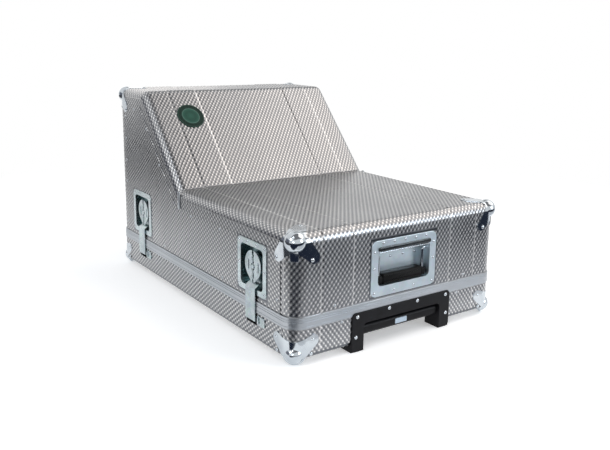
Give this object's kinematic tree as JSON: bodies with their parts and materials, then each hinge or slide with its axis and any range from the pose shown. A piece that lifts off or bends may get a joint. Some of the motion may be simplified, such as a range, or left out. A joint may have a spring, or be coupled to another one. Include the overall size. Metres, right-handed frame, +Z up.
{
  "type": "mixer flight case",
  "caption": "Stepped aluminium-clad flight case for a small mixer: lift-off lid with butterfly latches, base tray with pull-out trolley handle and wheels.",
  "frame": {"origin": "on the floor, under the middle of the object's bounding box", "axes": "+X across the case, to the right seen from the front; -Y towards the front with the carrying handle; +Z up"},
  "size_m": [0.5576, 0.8504, 0.477],
  "materials": {
    "plywood": "varnished birch plywood",
    "embossed_sheet": "pearl-embossed aluminium sheet",
    "plain_sheet": "plain mill aluminium",
    "extrusion": "satin extruded aluminium",
    "zinc_steel": "pale blue bright zinc plate",
    "bright_zinc": "polished bright plate",
    "tube_steel": "satin steel tube",
    "black_plastic": "moulded black, fine grain",
    "grip_plastic": "moulded black",
    "button_plastic": "moulded blue-grey",
    "grip_rubber": "soft black rubber",
    "tyre_rubber": "dark grey rubber",
    "enamel": "green enamel",
    "foam": "charcoal foam"
  },
  "bodies": {
    "base": {"base_tray": "plywood", "base_skin": "embossed_sheet", "base_bottom_sheet": "plain_sheet", "base_rim": "extrusion", "base_corner_front_left": "zinc_steel", "base_corner_front_right": "zinc_steel", "base_corner_rear_left": "zinc_steel", "base_corner_rear_right": "zinc_steel", "latch_keepers": "zinc_steel", "trolley_frame": "black_plastic", "trolley_liner": "black_plastic", "trolley_outer_tubes": "tube_steel", "trolley_clamps": "black_plastic", "false_floor": "plywood", "wheel_housing_left": "black_plastic", "wheel_housing_right": "black_plastic", "wheel_axle_left": "zinc_steel", "wheel_axle_right": "zinc_steel"},
    "lid": {"lid_core": "plywood", "lid_wrap": "embossed_sheet", "lid_side_sheet_left": "embossed_sheet", "lid_side_sheet_right": "embossed_sheet", "lid_rim": "extrusion", "lid_corner_front_left": "bright_zinc", "lid_corner_front_right": "bright_zinc", "lid_corner_rear_left": "bright_zinc", "lid_corner_rear_right": "bright_zinc", "slope_badge": "enamel", "lid_foam": "foam", "handle_dish": "zinc_steel", "latch_dish_left_front": "zinc_steel", "latch_dish_left_rear": "zinc_steel", "latch_dish_right_front": "zinc_steel", "latch_dish_right_rear": "zinc_steel"},
    "carrying_handle": {"handle_bail": "zinc_steel", "handle_grip": "grip_rubber"},
    "trolley_middle": {"trolley_middle_tubes": "tube_steel"},
    "trolley_handle": {"trolley_inner_tubes": "tube_steel", "trolley_grip": "grip_plastic"},
    "trolley_release": {"trolley_button": "button_plastic"},
    "wheel_left": {"wheel_tyre_left": "tyre_rubber", "wheel_hub_left": "grip_plastic"},
    "wheel_right": {"wheel_tyre_right": "tyre_rubber", "wheel_hub_right": "grip_plastic"},
    "cam_left_front": {"latch_cam_left_front": "zinc_steel"},
    "wing_a_left_front": {"latch_wing_a_left_front": "zinc_steel"},
    "wing_b_left_front": {"latch_wing_b_left_front": "zinc_steel"},
    "hasp_left_front": {"latch_hasp_left_front": "zinc_steel"},
    "cam_left_rear": {"latch_cam_left_rear": "zinc_steel"},
    "wing_a_left_rear": {"latch_wing_a_left_rear": "zinc_steel"},
    "wing_b_left_rear": {"latch_wing_b_left_rear": "zinc_steel"},
    "hasp_left_rear": {"latch_hasp_left_rear": "zinc_steel"},
    "cam_right_front": {"latch_cam_right_front": "zinc_steel"},
    "wing_a_right_front": {"latch_wing_a_right_front": "zinc_steel"},
    "wing_b_right_front": {"latch_wing_b_right_front": "zinc_steel"},
    "hasp_right_front": {"latch_hasp_right_front": "zinc_steel"},
    "cam_right_rear": {"latch_cam_right_rear": "zinc_steel"},
    "wing_a_right_rear": {"latch_wing_a_right_rear": "zinc_steel"},
    "wing_b_right_rear": {"latch_wing_b_right_rear": "zinc_steel"},
    "hasp_right_rear": {"latch_hasp_right_rear": "zinc_steel"}
  },
  "joints": [
    {"name": "lid_lift", "type": "slide", "parent": "base", "child": "lid", "axis": [0, 0, 1], "range_m": [0, 0.45]},
    {"name": "carrying_handle_swing", "type": "hinge", "parent": "lid", "child": "carrying_handle", "pos_m": [0, -0.4098, 0.185], "axis": [1, 0, 0], "range_deg": [-88, 0], "stiffness_Nm_per_rad": 0.05, "springref_deg": 17.19},
    {"name": "trolley_middle_slide", "type": "slide", "parent": "base", "child": "trolley_middle", "axis": [0, -1, 0], "range_m": [0, 0.3]},
    {"name": "trolley_handle_slide", "type": "slide", "parent": "trolley_middle", "child": "trolley_handle", "axis": [0, -1, 0], "range_m": [0, 0.3]},
    {"name": "release_button_push", "type": "slide", "parent": "trolley_handle", "child": "trolley_release", "axis": [0, 1, 0], "range_m": [0, 0.003], "stiffness_N_per_m": 400},
    {"name": "wheel_left_spin", "type": "hinge", "parent": "base", "child": "wheel_left", "pos_m": [-0.19, 0.3912, 0.0355], "axis": [1, 0, 0], "continuous": true},
    {"name": "wheel_right_spin", "type": "hinge", "parent": "base", "child": "wheel_right", "pos_m": [0.19, 0.3912, 0.0355], "axis": [1, 0, 0], "continuous": true},
    {"name": "latch_turn_left_front", "type": "hinge", "parent": "lid", "child": "cam_left_front", "pos_m": [-0.274, -0.2788, 0.164], "axis": [-1, 0, 0], "range_deg": [0, 180]},
    {"name": "hasp_draw_left_front", "type": "slide", "parent": "lid", "child": "hasp_left_front", "axis": [0, 0, -1], "range_m": [0, 0.0081]},
    {"name": "wing_a_fold_left_front", "type": "hinge", "parent": "cam_left_front", "child": "wing_a_left_front", "pos_m": [-0.2716, -0.2788, 0.164], "axis": [0, 0, -1], "range_deg": [0, 75], "stiffness_Nm_per_rad": 0.02, "springref_deg": -11.46},
    {"name": "wing_b_fold_left_front", "type": "hinge", "parent": "cam_left_front", "child": "wing_b_left_front", "pos_m": [-0.2716, -0.2788, 0.164], "axis": [0, 0, 1], "range_deg": [0, 75], "stiffness_Nm_per_rad": 0.02, "springref_deg": -11.46},
    {"name": "latch_turn_left_rear", "type": "hinge", "parent": "lid", "child": "cam_left_rear", "pos_m": [-0.274, 0.2652, 0.164], "axis": [-1, 0, 0], "range_deg": [0, 180]},
    {"name": "hasp_draw_left_rear", "type": "slide", "parent": "lid", "child": "hasp_left_rear", "axis": [0, 0, -1], "range_m": [0, 0.0081]},
    {"name": "wing_a_fold_left_rear", "type": "hinge", "parent": "cam_left_rear", "child": "wing_a_left_rear", "pos_m": [-0.2716, 0.2652, 0.164], "axis": [0, 0, -1], "range_deg": [0, 75], "stiffness_Nm_per_rad": 0.02, "springref_deg": -11.46},
    {"name": "wing_b_fold_left_rear", "type": "hinge", "parent": "cam_left_rear", "child": "wing_b_left_rear", "pos_m": [-0.2716, 0.2652, 0.164], "axis": [0, 0, 1], "range_deg": [0, 75], "stiffness_Nm_per_rad": 0.02, "springref_deg": -11.46},
    {"name": "latch_turn_right_front", "type": "hinge", "parent": "lid", "child": "cam_right_front", "pos_m": [0.274, -0.2788, 0.164], "axis": [1, 0, 0], "range_deg": [0, 180]},
    {"name": "hasp_draw_right_front", "type": "slide", "parent": "lid", "child": "hasp_right_front", "axis": [0, 0, -1], "range_m": [0, 0.0081]},
    {"name": "wing_a_fold_right_front", "type": "hinge", "parent": "cam_right_front", "child": "wing_a_right_front", "pos_m": [0.2716, -0.2788, 0.164], "axis": [0, 0, -1], "range_deg": [0, 75], "stiffness_Nm_per_rad": 0.02, "springref_deg": -11.46},
    {"name": "wing_b_fold_right_front", "type": "hinge", "parent": "cam_right_front", "child": "wing_b_right_front", "pos_m": [0.2716, -0.2788, 0.164], "axis": [0, 0, 1], "range_deg": [0, 75], "stiffness_Nm_per_rad": 0.02, "springref_deg": -11.46},
    {"name": "latch_turn_right_rear", "type": "hinge", "parent": "lid", "child": "cam_right_rear", "pos_m": [0.274, 0.2652, 0.164], "axis": [1, 0, 0], "range_deg": [0, 180]},
    {"name": "hasp_draw_right_rear", "type": "slide", "parent": "lid", "child": "hasp_right_rear", "axis": [0, 0, -1], "range_m": [0, 0.0081]},
    {"name": "wing_a_fold_right_rear", "type": "hinge", "parent": "cam_right_rear", "child": "wing_a_right_rear", "pos_m": [0.2716, 0.2652, 0.164], "axis": [0, 0, -1], "range_deg": [0, 75], "stiffness_Nm_per_rad": 0.02, "springref_deg": -11.46},
    {"name": "wing_b_fold_right_rear", "type": "hinge", "parent": "cam_right_rear", "child": "wing_b_right_rear", "pos_m": [0.2716, 0.2652, 0.164], "axis": [0, 0, 1], "range_deg": [0, 75], "stiffness_Nm_per_rad": 0.02, "springref_deg": -11.46}
  ],
  "couplings": [
    {"joint": "hasp_draw_left_front", "follows": "latch_turn_left_front", "m_per_rad": 0.0025465},
    {"joint": "hasp_draw_left_rear", "follows": "latch_turn_left_rear", "m_per_rad": 0.0025465},
    {"joint": "hasp_draw_right_front", "follows": "latch_turn_right_front", "m_per_rad": 0.0025465},
    {"joint": "hasp_draw_right_rear", "follows": "latch_turn_right_rear", "m_per_rad": 0.0025465}
  ]
}
